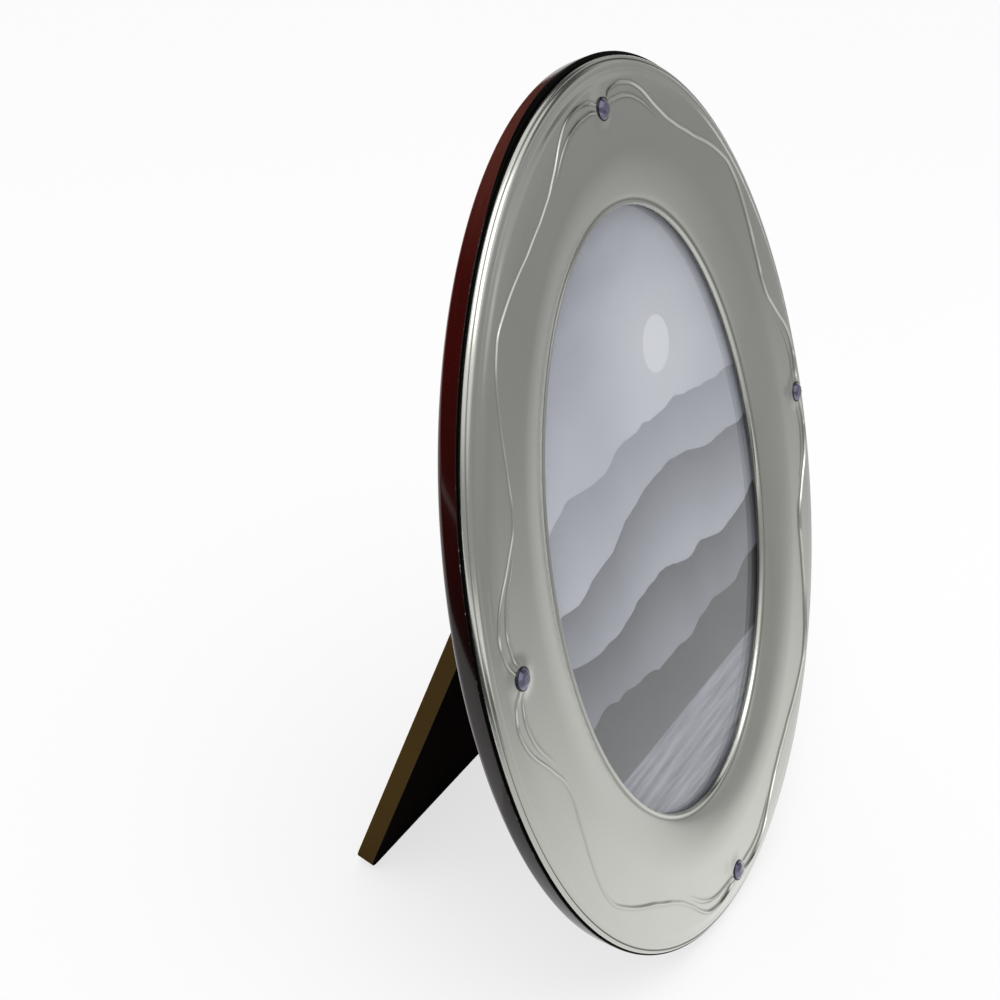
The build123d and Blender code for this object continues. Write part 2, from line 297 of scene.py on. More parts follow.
# %% [markdown]
# ## What the silver and the wood mirror
# The table in front of the face falls off from white near the frame to grey further away, and that is what
# gives the front its gradient: its foot mirrors the near table, its top the far one. A sheet just above the
# table carries this fall-off, an exponential of the distance from the foot. Two dark sheets, one on the
# table to the left and one standing behind, are what the wooden side mirrors. All three exist for glossy
# rays alone: they cast no shade and stay out of every picture.

# %% Mirrored sheets
SHEET_LEVEL = 0.003
FOOT = Vector((0, -0.05, SHEET_LEVEL))
NEAR_GLOW = 0.62
FAR_GLOW = 0.32
FALL_OFF = 0.28


def make_fall_off():
    material, tree, _ = new_finish("table_fall_off", Base_Color=grey(0.0))
    away = combine(tree, "DISTANCE", object_coordinates(tree), FOOT)
    fading = compute(tree, "EXPONENT", compute(tree, "MULTIPLY", away, -1 / FALL_OFF))
    level = compute(tree, "MULTIPLY_ADD", fading, NEAR_GLOW, FAR_GLOW)
    glow = add_node(tree, "ShaderNodeEmission", {"Color": grey(1.0), "Strength": level})
    tree.links.new(glow.outputs[0], tree.nodes["Material Output"].inputs["Surface"])
    return material


def show_in_mirrors_only(sheet):
    sheet.visible_camera = False
    sheet.visible_diffuse = False
    sheet.visible_transmission = False
    sheet.visible_shadow = False


dark_sheet = new_finish("dark_sheet", Base_Color=grey(0.02), Roughness=0.95)[0]
sheet_front = add_sheet("sheet_front", (7.2, -7.47, SHEET_LEVEL), (0, 0, 1), 15, 15, make_fall_off())
sheet_left = add_sheet("sheet_left", (-0.56, 0.20, SHEET_LEVEL), (0, 0, 1), 0.66, 1.2, dark_sheet)
sheet_back = add_sheet("sheet_back", (-0.2, 1.0, 0.8), (0, -1, 0), 3, 1.6, dark_sheet)
for sheet in (sheet_front, sheet_left, sheet_back):
    show_in_mirrors_only(sheet)
print("mirrored sheets are in place")

# %% [markdown]
# ## Finishes: silver
# The front is thin silver pressed over a form, satin rather than mirror bright. Its look comes from
# reflection, so the base colour is one pale, slightly warm grey. Cloudy handling marks and a fine satin
# live in the roughness, and the sheet's faint unevenness in a very shallow bump. A vertex attribute written
# by the embossing below marks the grooves, the strips beside the lines and the opening's inner wall, and
# there the metal is darkened: partly patina, where polish never reaches, and partly painted shade and
# painted reflection of the steps and hollows.

# %% Silver
SILVER_TONES = [(0.63, 0.64, 0.585, 1), (0.68, 0.69, 0.64, 1)]
# The patina tone darkens grooves, line strips and the inner wall: patina and painted shade.
PATINA_AND_SHADE_TONE = (0.03, 0.03, 0.028, 1)
POLISHED = 0.13
SATIN_ADDS = 0.05
CLOUDS_ADD = 0.08
PATINA_AND_SHADE_ADDS = 0.2


def make_silver():
    material, tree, shader = new_finish("satin_silver", Metallic=1.0)
    here = face_coordinates(tree)
    clouds = noise(tree, here, 40.0, 4.0, 0.55)
    satin = noise(tree, here, 2400.0, 2.0)
    patina_and_shade = add_node(tree, "ShaderNodeAttribute", attribute_name="patina_and_shade").outputs["Fac"]
    # Darkened where the attribute marks: patina, and painted shade and painted reflection.
    silver_patina_and_shade = blend_colours(tree, patina_and_shade, blend_colours(tree, clouds, *SILVER_TONES), PATINA_AND_SHADE_TONE)
    tree.links.new(silver_patina_and_shade, shader.inputs["Base Color"])
    rough = compute(tree, "MULTIPLY_ADD", satin, SATIN_ADDS, POLISHED)
    rough = compute(tree, "MULTIPLY_ADD", clouds, CLOUDS_ADD, rough)
    rough = compute(tree, "MULTIPLY_ADD", patina_and_shade, PATINA_AND_SHADE_ADDS, rough)
    tree.links.new(rough, shader.inputs["Roughness"])
    waves = noise(tree, here, 55.0, 2.0, 0.4)
    add_bump(tree, shader, waves, 0.25, 0.0003)
    return material


silver = make_silver()
print("made", silver.name)

# %% [markdown]
# ## Finishes: lacquered wood
# The ring is stained dark red under a clear lacquer, with grain just showing along it and pale specks where
# hands have worn the front corner. Over the stain lies painted light: almost black towards the foot, as
# painted shade, and lighter at the head, as painted light from above. The ledge in front, under the
# silver's edge, is black without lacquer, and near the head its black reaches further back as painted
# shade. Height up the face and depth behind it choose between these tones, so no seam shows.

# %% Lacquered wood
# Foot and head tones are painted shade and painted light over the stain, by height up the face.
FOOT_IN_PAINTED_SHADE = (0.005, 0.0003, 0.0002, 1)
STAIN_SIDE = (0.048, 0.0028, 0.0018, 1)
HEAD_IN_PAINTED_LIGHT = (0.092, 0.022, 0.014, 1)
STAIN_BACK = (0.024, 0.0016, 0.0010, 1)
GRAIN_TONE = (0.004, 0.0004, 0.0003, 1)
RUBBED_TONE = (0.42, 0.36, 0.31, 1)
LEDGE_TONE = (0.0025, 0.0022, 0.0020, 1)
FOOT_SHADE_SPAN = (10 * MM, 100 * MM)
HEAD_LIGHT_SPAN = (92 * MM, 120 * MM)
BACK_SPAN = (-9.25 * MM, -8.2 * MM)
LEDGE_SHADE_SPAN = (100 * MM, 124 * MM)
LEDGE_SHADE_DEPTHS = (0.15 * MM, 1.6 * MM)
LEDGE_EDGE = (-2.25 * MM, -2.05 * MM)
RUBBED_MOST = 0.85
COAT = 0.6


def stain_with_painted_light(tree, up, out):
    """The stain's colour, with painted shade at the foot and painted light at the head, by height up the face
    and depth behind it.
    """
    # Painted light: darker towards the foot, lighter at the head.
    side = blend_colours(tree, remap(tree, up, *FOOT_SHADE_SPAN, 0.0, 1.0), FOOT_IN_PAINTED_SHADE, STAIN_SIDE)
    side = blend_colours(tree, remap(tree, up, *HEAD_LIGHT_SPAN, 0.0, 1.0, smooth=True), side, HEAD_IN_PAINTED_LIGHT)
    return blend_colours(tree, remap(tree, out, *BACK_SPAN, 0.0, 1.0), STAIN_BACK, side)


def rub_corner(tree, raw):
    """How far the lacquer is rubbed off: specks in patches, on the front corner alone."""
    wear = add_node(tree, "ShaderNodeAttribute", attribute_name="wear").outputs["Fac"]
    specks = remap(tree, noise(tree, raw, 700.0, 3.0, 0.7), 0.54, 0.68, 0.0, 1.0)
    patches = remap(tree, noise(tree, raw, 60.0, 2.0), 0.45, 0.62, 0.0, RUBBED_MOST)
    return compute(tree, "MULTIPLY", wear, compute(tree, "MULTIPLY", specks, patches))


def make_lacquer():
    material, tree, shader = new_finish("red_lacquer", Coat_Roughness=0.1, Specular_IOR_Level=0.02)
    raw = object_coordinates(tree)
    _, up, out = add_node(tree, "ShaderNodeSeparateXYZ", {0: face_coordinates(tree)}).outputs
    grain = noise(tree, face_coordinates(tree, (60, 60, 900)), 1.0, 5.0, 0.65)
    clouds = noise(tree, raw, 28.0, 3.0)
    shade = compute(tree, "MULTIPLY", remap(tree, grain, 0.3, 0.7, 0.0, 0.55), clouds)
    stain = blend_colours(tree, shade, stain_with_painted_light(tree, up, out), GRAIN_TONE)
    edged = blend_colours(tree, rub_corner(tree, raw), stain, RUBBED_TONE)
    # Near the head the ledge's black reaches further back: painted shade.
    shade_reach = remap(tree, up, *LEDGE_SHADE_SPAN, *LEDGE_SHADE_DEPTHS, smooth=True)
    ledge_and_shade = remap(tree, compute(tree, "ADD", out, shade_reach), *LEDGE_EDGE, 0.0, 1.0)
    tree.links.new(blend_colours(tree, ledge_and_shade, edged, LEDGE_TONE), shader.inputs["Base Color"])
    tree.links.new(remap(tree, ledge_and_shade, 0.0, 1.0, COAT, 0.0), shader.inputs["Coat Weight"])
    tree.links.new(remap(tree, clouds, 0.3, 0.7, 0.18, 0.30), shader.inputs["Roughness"])
    add_bump(tree, shader, grain, 0.05, 0.0002)
    return material


lacquer = make_lacquer()
print("made", lacquer.name)

# %% [markdown]
# ## Finishes: black core and boards
# The core is plain black with a little dust. The strut is a fibre board: its broad sides are dark paint,
# made near black in part as painted shade of the frame, and its cut edges are raw brown with the fine
# speckle of pressed fibre. The card and the panel behind the print are fibrous too, so one function mixes
# all four from two tones.

# %% Core and boards
def make_black_core():
    material, tree, shader = new_finish("black_core", Specular_IOR_Level=0.15)
    raw = object_coordinates(tree)
    dust = remap(tree, noise(tree, raw, 1500.0, 2.0), 0.6, 0.75, 0.0, 0.5)
    tree.links.new(blend_colours(tree, dust, grey(0.004), grey(0.05)), shader.inputs["Base Color"])
    tree.links.new(remap(tree, noise(tree, raw, 300.0), 0.3, 0.7, 0.4, 0.6), shader.inputs["Roughness"])
    return material


def make_board(name, dark, light, fibre, bump):
    """Fibre board: two tones mixed by fine fibres, matt."""
    material, tree, shader = new_finish(name, Specular_IOR_Level=0.0)
    raw = object_coordinates(tree)
    fibres = noise(tree, raw, fibre, 5.0, 0.7)
    clouds = noise(tree, raw, 30.0, 3.0)
    tone = compute(tree, "MULTIPLY_ADD", clouds, 0.5, compute(tree, "MULTIPLY", fibres, 0.5))
    tree.links.new(blend_colours(tree, tone, dark, light), shader.inputs["Base Color"])
    tree.links.new(remap(tree, clouds, 0.3, 0.7, 0.5, 0.75), shader.inputs["Roughness"])
    add_bump(tree, shader, fibres, bump, 0.0003)
    return material


black_core = make_black_core()
# The strut's broad sides: dark paint, made near black in part as painted shade.
board_in_painted_shade = make_board(
    "board_in_painted_shade", (0.0030, 0.0026, 0.0023, 1), (0.0095, 0.0078, 0.0068, 1), fibre=600.0, bump=0.15
)
raw_edge = make_board(
    "raw_board_edge", (0.030, 0.018, 0.006, 1), (0.085, 0.050, 0.016, 1), fibre=1400.0, bump=0.3
)
grey_card = make_board("grey_card", (0.32, 0.29, 0.24, 1), (0.42, 0.39, 0.33, 1), fibre=900.0, bump=0.2)
back_board = make_board(
    "back_board", (0.012, 0.007, 0.005, 1), (0.030, 0.018, 0.012, 1), fibre=500.0, bump=0.3
)
print("made", [m.name for m in (black_core, board_in_painted_shade, raw_edge, grey_card, back_board)])

# %% [markdown]
# ## Finishes: brass, dark bezels, violet stones and glass
# The small fittings at the back are brass with finger marks. The bezels are darkened silver. The stones are
# foil-backed crystal, so they mirror like metal under clear glass: violet with a bright coat. The pane is
# clear glass with a trace of dust in its gloss.

# %% Metal, stones and glass
def make_metal(name, base, shade, smooth, rough):
    """Metal with cloudy marks between two tones and two roughnesses."""
    material, tree, shader = new_finish(name, Metallic=1.0)
    marks = noise(tree, object_coordinates(tree), 350.0, 4.0, 0.6)
    tree.links.new(blend_colours(tree, marks, base, shade), shader.inputs["Base Color"])
    tree.links.new(remap(tree, marks, 0.3, 0.7, smooth, rough), shader.inputs["Roughness"])
    return material


def make_crystal():
    material, tree, shader = new_finish(
        "violet_crystal", Metallic=0.75, Roughness=0.06, Coat_Weight=1.0, Coat_Roughness=0.03
    )
    depth = noise(tree, object_coordinates(tree), 700.0, 1.0)
    tone = blend_colours(tree, depth, (0.02, 0.02, 0.05, 1), (0.28, 0.27, 0.42, 1))
    tree.links.new(tone, shader.inputs["Base Color"])
    return material


def make_glass():
    material, tree, shader = new_finish(
        "clear_glass", Transmission_Weight=1.0, IOR=1.46, Base_Color=(0.97, 0.985, 0.98, 1)
    )
    dust = noise(tree, face_coordinates(tree), 60.0, 5.0, 0.7)
    tree.links.new(remap(tree, dust, 0.45, 0.8, 0.0, 0.06), shader.inputs["Roughness"])
    return material


brass = make_metal("worn_brass", (0.58, 0.40, 0.16, 1), (0.74, 0.55, 0.27, 1), smooth=0.2, rough=0.38)
dark_silver = make_metal(
    "dark_silver", (0.03, 0.03, 0.032, 1), (0.10, 0.10, 0.10, 1), smooth=0.18, rough=0.35
)
crystal = make_crystal()
glass = make_glass()
print("made", [m.name for m in (brass, dark_silver, crystal, glass)])

# %% [markdown]
# ## Finishes: the print
# Frames are sold with a sample picture behind the glass. This one holds a quiet landscape in lavender
# greys: a low sun, four ranges of hills and a lake. Each range is a one-dimensional noise that gives the
# height of its crest along x, and everything below the crest takes the range's tone, paler towards its foot
# where mist lies. A range is written as its base and rise in millimetres, the noise's scale and seed, and
# two tones.

# %% Print
SKY_TOP = (0.24, 0.25, 0.305, 1)
SKY_LOW = (0.42, 0.43, 0.50, 1)
SKY_SPAN = (10 * MM, 85 * MM)
SUN_TONE = (0.62, 0.63, 0.68, 1)
SUN_PLACE = Vector((17, 44, 0)) * MM
SUN_RADIUS = 8 * MM
RANGES = [
    (24, 15, 15.0, 0.3, (0.25, 0.258, 0.312, 1), (0.40, 0.41, 0.475, 1)),
    (4, 17, 13.0, 4.1, (0.115, 0.12, 0.15, 1), (0.34, 0.35, 0.41, 1)),
    (-17, 14, 17.0, 9.7, (0.045, 0.048, 0.062, 1), (0.22, 0.228, 0.275, 1)),
    (-38, 11, 22.0, 15.2, (0.014, 0.015, 0.020, 1), (0.050, 0.053, 0.066, 1)),
]
MIST_DEPTH = 26 * MM
CREST_EDGE = 0.15 * MM
LAKE_LINE = -58 * MM
LAKE_EDGE = 0.2 * MM
LAKE_TONES = [(0.27, 0.28, 0.335, 1), (0.05, 0.053, 0.066, 1)]


def paint_sky(tree, here, up):
    """Sky with a thin veil, a sun and the glow round it."""
    sky = blend_colours(tree, remap(tree, up, *SKY_SPAN, 0.0, 1.0), SKY_LOW, SKY_TOP)
    veil = noise(tree, face_coordinates(tree, (16, 30, 1)), 1.0, 4.0, 0.5)
    sky = blend_colours(tree, remap(tree, veil, 0.4, 0.8, 0.0, 0.35), sky, SUN_TONE)
    flat = combine(tree, "MULTIPLY", combine(tree, "SUBTRACT", here, SUN_PLACE), (1, 1, 0))
    distance = combine(tree, "LENGTH", flat)
    glow = remap(tree, distance, SUN_RADIUS, 6 * SUN_RADIUS, 0.45, 0.0, smooth=True)
    disc = remap(tree, distance, 0.96 * SUN_RADIUS, 1.04 * SUN_RADIUS, 1.0, 0.0)
    return blend_colours(tree, compute(tree, "MAXIMUM", glow, disc), sky, SUN_TONE)


def paint_range(tree, picture, across, up, hills):
    """One range of hills over the picture so far."""
    base, rise, scale, seed, crest_tone, foot_tone = hills
    inputs = {"W": compute(tree, "ADD", across, seed), "Scale": scale, "Detail": 5.0, "Roughness": 0.42}
    profile = add_node(tree, "ShaderNodeTexNoise", inputs, noise_dimensions="1D").outputs[0]
    swing = compute(tree, "SUBTRACT", profile, 0.5)
    crest = compute(tree, "MULTIPLY_ADD", swing, 2 * rise * MM, base * MM)
    depth = compute(tree, "SUBTRACT", crest, up)
    tone = blend_colours(tree, remap(tree, depth, 0.0, MIST_DEPTH, 0.0, 1.0), crest_tone, foot_tone)
    inside = remap(tree, depth, -CREST_EDGE, CREST_EDGE, 0.0, 1.0)
    return blend_colours(tree, inside, picture, tone)


def paint_lake(tree, picture, up):
    """Rippled water over the foot of the picture."""
    ripples = noise(tree, face_coordinates(tree, (30, 420, 1)), 1.0, 3.0, 0.6)
    lake = blend_colours(tree, remap(tree, ripples, 0.35, 0.7, 0.0, 0.75), *LAKE_TONES)
    return blend_colours(tree, remap(tree, up, LAKE_LINE - LAKE_EDGE, LAKE_LINE, 1.0, 0.0), picture, lake)


def make_print():
    material, tree, shader = new_finish("landscape_print", Roughness=0.45, Specular_IOR_Level=0.2)
    here = face_coordinates(tree)
    across, up, _ = add_node(tree, "ShaderNodeSeparateXYZ", {0: here}).outputs
    picture = paint_sky(tree, here, up)
    for hills in RANGES:
        picture = paint_range(tree, picture, across, up, hills)
    picture = paint_lake(tree, picture, up)
    grain = remap(tree, noise(tree, here, 2600.0, 1.0), 0.2, 0.8, -0.05, 0.05)
    toned = combine(tree, "MULTIPLY", picture, compute(tree, "ADD", grain, 1.0))
    tree.links.new(toned, shader.inputs["Base Color"])
    return material


landscape = make_print()
print("made", landscape.name)

# %% [markdown]
# ## Turning oval rings
# Every ring here is an oval whose two half widths differ by the same amount at every inset. So a ring is
# first spun as a round one, which the spin operator does well, and each vertex is then pushed up or down
# the oval by that difference times the sine of its angle. A finished bmesh goes to the leaning face with
# one transform.

# %% Ring helpers
def spin_section(bm, points, steps):
    """Spin a closed cross-section of (radius, level) points, in metres, round the axis of z."""
    verts = [bm.verts.new((radius, 0, level)) for radius, level in points]
    edges = [bm.edges.new(pair) for pair in zip(verts, verts[1:] + verts[:1])]
    bmesh.ops.spin(
        bm, geom=verts + edges, cent=(0, 0, 0), axis=(0, 0, 1), angle=2 * math.pi, steps=steps, use_merge=True
    )


def from_insets(points):
    """Turn (inset, level) points in millimetres into radii and levels of the round ring."""
    return [(HALF_W - inset * MM, level * MM) for inset, level in points]


def stretch_to_oval(bm):
    """Turn round rings into the oval ones."""
    for vert in bm.verts:
        vert.co.y += OVAL_STRETCH * vert.co.y / math.hypot(vert.co.x, vert.co.y)


print("ovals are stretched by", round(OVAL_STRETCH / MM, 3), "mm")

# %% [markdown]
# ## Finishing a piece
# Several pieces share the same steps. Corners are softened with a bevel, a plane cuts off what is too much
# and the cut is closed again, and a flat outline gets its thickness by extrusion. At the end every bmesh
# becomes an object that rides on a body in place of a bare node.

# %% Piece helpers
def soften(bm, geom, size, segments, affect="EDGES"):
    """Bevel edges or corners by a size in millimetres."""
    bmesh.ops.bevel(
        bm, geom=geom, offset=size * MM, offset_type="OFFSET", segments=segments, profile=0.5,
        affect=affect, material=-1,
    )


def cut_off(bm, point, outward):
    """Cut off what lies outside a plane, and close the cut."""
    everything = bm.verts[:] + bm.edges[:] + bm.faces[:]
    cut = bmesh.ops.bisect_plane(bm, geom=everything, plane_co=point, plane_no=outward, clear_outer=True)
    rim = [g for g in cut["geom_cut"] if isinstance(g, bmesh.types.BMEdge)]
    bmesh.ops.holes_fill(bm, edges=rim)


def thicken(bm, height):
    """Extrude the flat faces along z by a height in millimetres."""
    raised = bmesh.ops.extrude_face_region(bm, geom=bm.faces[:])
    top = [g for g in raised["geom"] if isinstance(g, bmesh.types.BMVert)]
    bmesh.ops.translate(bm, verts=top, vec=(0, 0, height * MM))


def finish_piece(name, bm, place, body, material, node, sharp=math.radians(35)):
    """Make a piece of a bmesh, set it in place, and let it ride on a body in place of a node."""
    bmesh.ops.recalc_face_normals(bm, faces=bm.faces)
    bm.transform(place)
    mesh = bpy.data.meshes.new(name)
    bm.to_mesh(mesh)
    bm.free()
    mesh.shade_smooth()
    mesh.set_sharp_from_angle(angle=sharp)
    mesh.materials.append(material)
    piece = bpy.data.objects.new(name, mesh)
    bpy.context.scene.collection.objects.link(piece)
    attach(piece, body)
    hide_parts(node)
    print(name, "faces", len(mesh.polygons))
    return piece


print("piece helpers ready")

# %% [markdown]
# ## The silver front: its cross-section
# On the real frame a thin sheet is pressed into a mould: two fine beads round the rim, a shallow cushion, a
# beaded lip, and a wavy ribbon that runs from stone to stone. The plain section comes first. It is a row of
# points, each an inset from the edge and a level in millimetres, with a smooth curve through them.

# %% Cross-section of the sheet
SHEET = 0.7
RIM = [
    (0.0, -1.2), (0.15, -0.84), (0.35, -0.52), (0.6, -0.36), (0.8, -0.42), (1.0, -0.64), (1.15, -0.48),
    (1.4, -0.1), (1.7, 0.16), (2.2, 0.4), (2.8, 0.54), (3.2, 0.6), (3.5, 0.72), (3.9, 0.88),
]
FIELD = [
    (4.3, 1.0), (5.0, 1.17), (6.5, 1.46), (8.0, 1.7), (12.0, 2.04), (16.0, 2.36), (20.0, 2.68), (22.0, 2.82),
    (23.0, 2.86), (24.0, 2.83), (25.5, 2.7), (27.5, 2.4), (29.5, 1.98), (31.5, 1.46), (33.4, 0.9),
]
LIP = [
    (33.9, 0.74), (34.6, 0.5), (35.4, 0.2), (36.2, -0.18), (36.8, -0.54), (37.1, -0.64), (37.35, -0.54),
    (37.65, -0.36), (37.95, -0.32), (38.2, -0.48), (38.38, -0.8), (38.5, -1.3),
]
RIM_FOOT = -1.4
WALL_FOOT = -2.1
BORDER = LIP[-1][0]
UNDERSIDE = [
    (BORDER - SHEET, WALL_FOOT), (BORDER - SHEET, -1.2), (36.5, -0.9), (34.2, 0.05), (29.0, 1.45),
    (23.0, 2.2), (18.8, 2.1), (8.0, 1.0), (4.7, 0.3), (2.5, -0.65), (0.3, -0.97), (0.0, RIM_FOOT),
]
STONE_INSET = 11.3

front_knots = np.array(RIM + FIELD + LIP)
front_slopes = np.gradient(front_knots[:, 1], front_knots[:, 0])


def front_level(inset):
    """Smooth level of the plain front at an inset, in millimetres."""
    span = np.clip(np.searchsorted(front_knots[:, 0], inset) - 1, 0, len(front_knots) - 2)
    start, end = front_knots[span], front_knots[span + 1]
    width = end[:, 0] - start[:, 0]
    t = (inset - start[:, 0]) / width
    chord = (end[:, 1] - start[:, 1]) / width
    leaving = (front_slopes[span] - chord) * (1 - t)
    arriving = (front_slopes[span + 1] - chord) * t
    bend = width * t * (1 - t) * (leaving - arriving)
    return start[:, 1] + (end[:, 1] - start[:, 1]) * t + bend


print("front level at the stones", round(front_level(np.array([STONE_INSET]))[0], 2))

# %% [markdown]
# ## The silver front: the ribbon's two lines
# Two raised lines run round the oval. The inner one shows only near the stones, where the two part and
# leave a band between them. The pattern repeats in each quarter, so it is drawn once, by tables of a value
# at a few angles in degrees, and any angle is folded into that quarter. WAVE is the outer line's inset and
# BAND the way from it to the inner line, both in millimetres, and TWIN is how far the inner line is raised,
# from 0 to 1. Averaging a little to each side rounds the corners between the points.

# %% The ribbon's two lines
WAVE = [
    (0, 11.3), (1.9, 7.6), (5.7, 5.9), (8.7, 7.0), (11.2, 9.2), (13.3, 11.9), (18.3, 16.3), (21.7, 16.6),
    (27.9, 14), (34, 10.6), (38.2, 8.5), (42.7, 7.7), (48.5, 10.1), (55.5, 13.4), (62, 14.6), (66.7, 14.2),
    (71.2, 12), (75.1, 8.8), (78.2, 7.1), (82.6, 6.7), (86.9, 7.9), (90, 11.3),
]
BAND = [
    (0, 1.7), (3, 3.3), (8, 3.4), (12, 2.6), (16, 1.7), (68, 1.7), (72, 2.4), (77, 3.4), (84, 3.3), (90, 1.7),
]
TWIN = [(0, 1), (9, 1), (15, 0), (69, 0), (75, 1), (90, 1)]
SOFTENING = np.linspace(-1.6, 1.6, 9)


def quarter_angle(angle):
    """Fold any oval angle into the first quarter, in degrees."""
    folded = np.abs(np.degrees(angle)) % 180
    return np.where(folded > 90, 180 - folded, folded)


def smooth_table(where, table):
    """Linear table of (angle, value) softened by averaging a little to each side."""
    knots, values = zip(*table)
    weights = 1 - np.abs(SOFTENING) / 2
    total = 0
    for step, weight in zip(SOFTENING, weights):
        folded = np.abs(90 - np.abs(90 - np.abs(where + step)))
        total = total + weight * np.interp(folded, knots, values)
    return total / weights.sum()


sample = quarter_angle(np.radians(np.array([0.0, 42.7, 137.3, 270.0])))
print("wave insets", np.round(smooth_table(sample, WAVE), 2))

# %% [markdown]
# ## The silver front: rings that bend with the ribbon
# A plain grid laid across such a ribbon would show stair steps in the reflections. So the rings of this
# mesh bend with it. Each ring has a neutral place, a number that grows from the rim's wall over the front
# and the opening's wall to the underside. Between the rim and the lip, the rings at the neutral places
# below are pulled to both sides of the ribbon's two lines, and the others follow in proportion.

# %% Lay the rings
RING_STEPS = 720
RIM_WALL = 1.5
LIP_WALL = 2.0
RIM_EDGE = 4.1
NEUTRAL = np.array([4.3, 9.2, 10.8, 12.2, 13.8, 33.4])
RING_COUNTS = [9, 14, 5, 11, 28]
RIM_RINGS = 27
LIP_RINGS = 24
WALL_RINGS = 3
LINE_HALF = 0.8


def ring_parameters():
    """Neutral places: rim wall, rim, field between the ribbon's lines, lip, inner wall, underside."""
    rim_wall = np.linspace(-RIM_WALL, -0.5, WALL_RINGS)
    rim = np.concatenate([np.linspace(0, RIM[-1][0], RIM_RINGS), [RIM_EDGE]])
    field = [np.linspace(a, b, n, endpoint=False) for a, b, n in zip(NEUTRAL, NEUTRAL[1:], RING_COUNTS)]
    lip = np.linspace(NEUTRAL[-1], BORDER, LIP_RINGS)
    wall = BORDER + np.linspace(0.5, LIP_WALL, WALL_RINGS)
    under = BORDER + LIP_WALL + np.arange(1, len(UNDERSIDE) + 1)
    return np.concatenate([rim_wall, rim, *field, lip, wall, under])


def on_field(neutral):
    """True between the rim and the lip."""
    return (neutral > NEUTRAL[0]) & (neutral < NEUTRAL[-1])


def bend_rings(neutral, outer, inner):
    """Inset of each vertex, with the rings of the field bent along the ribbon's lines."""
    targets = np.array([
        np.full_like(outer, NEUTRAL[0]), outer - LINE_HALF, outer + LINE_HALF,
        inner - LINE_HALF, inner + LINE_HALF, np.full_like(outer, NEUTRAL[-1]),
    ])
    span = np.clip(np.searchsorted(NEUTRAL, neutral, side="right") - 1, 0, len(NEUTRAL) - 2)
    rows = np.arange(len(neutral))
    share = (neutral - NEUTRAL[span]) / (NEUTRAL[span + 1] - NEUTRAL[span])
    bent = targets[span, rows] + share * (targets[span + 1, rows] - targets[span, rows])
    return np.where(on_field(neutral), bent, np.clip(neutral, 0, BORDER))


def close_sheet(neutral, inset, level):
    """Insets and levels with the two walls and the underside put in."""
    climb = (neutral + RIM_WALL) * (RIM[0][1] - RIM_FOOT) / RIM_WALL
    level = np.where(neutral < 0, RIM_FOOT + climb, level)
    drop = (neutral - BORDER) * (WALL_FOOT - LIP[-1][1]) / LIP_WALL
    level = np.where(neutral > BORDER, LIP[-1][1] + drop, level)
    under = neutral > BORDER + LIP_WALL + 0.5
    step = np.clip(np.round(neutral - BORDER - LIP_WALL - 1).astype(int), 0, len(UNDERSIDE) - 1)
    below = np.array(UNDERSIDE)[step]
    return np.where(under, below[:, 0], inset), np.where(under, below[:, 1], level)


print("rings", len(ring_parameters()))

# %% [markdown]
# ## The silver front: embossing
# The mould raises the two lines, a low shoulder outside the outer one and a mound round each stone. Each of
# them is a simple curve of the distance to the line or the stone, so they just add up. The same distances
# say where the metal is darkened, partly as patina and partly as painted shade and painted reflection: in
# narrow strips beside the lines, in the grooves of the rim and the lip, and all over the hidden side, the
# opening's inner wall included. A groove is written as its place, its width and how dark it is.

# %% Emboss the sheet
SHOULDER_RISE = 0.34
SHOULDER_EDGE = 0.22
SHOULDER_FADE = 1.2
LINE_RISE = 0.52
TWIN_RISE = 0.34
LINE_WIDTH = 0.34
SEAT_RADIUS = 2.6
SEAT_CLEAR = 4.6
MOUND_RISE = 0.95
MOUND_REACH = 4.4
STRIP_OFF = 0.6
STRIP_WIDTH = 0.18
# Darkness of strips beside the lines and of the hidden side: patina and painted shade.
LINE_PATINA_AND_SHADE = 0.2
PAIRED_PATINA_AND_SHADE = 0.25
TWIN_PATINA_AND_SHADE = 0.45
HIDDEN_PATINA_AND_WALL_SHADE = 0.7
# Darkened rim and lip grooves: patina, and painted shade and painted reflection.
GROOVE_PATINA_AND_SHADE = [(1.0, 0.13, 0.9), (36.9, 0.35, 0.45)]


def bell(off, width):
    """One on a line, fading to nothing beside it."""
    return np.exp(-((off / width) ** 2))


def oval_points(inset, angle):
    """Face coordinates of points at an inset and angle, in millimetres."""
    return (HALF_W / MM - inset) * np.cos(angle), (HALF_H / MM - inset) * np.sin(angle)


